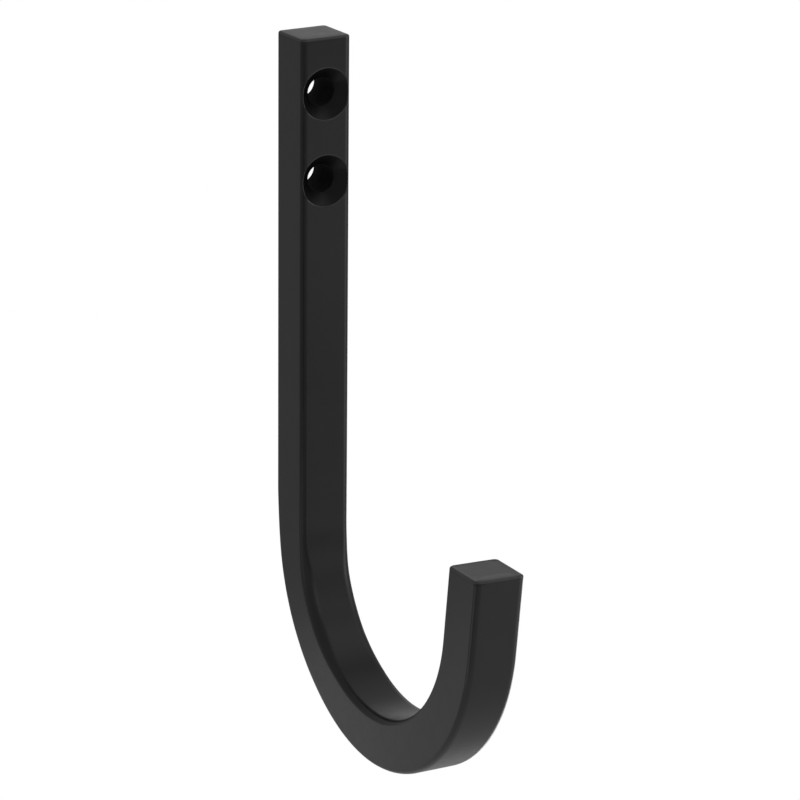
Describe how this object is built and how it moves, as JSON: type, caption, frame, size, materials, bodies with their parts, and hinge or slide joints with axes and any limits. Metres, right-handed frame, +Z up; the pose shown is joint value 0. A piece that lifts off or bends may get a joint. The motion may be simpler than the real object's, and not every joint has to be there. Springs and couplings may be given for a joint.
{
  "type": "multipurpose hook",
  "caption": "J-shaped wall hook bent from rounded square steel bar, with countersunk screw holes through its straight back for fixing to a wall, post or joist.",
  "frame": {"origin": "on the bar's back face, which lies against the wall, on its centre line and midway between the screw holes", "axes": "+Z up along the straight back, +Y into the wall, -Y out towards the tip, X across the bar"},
  "size_m": [0.0094, 0.0716, 0.124],
  "materials": {
    "powder_coat": "satin black powder coat"
  },
  "bodies": {
    "root": {"hook": "powder_coat"}
  },
  "joints": []
}
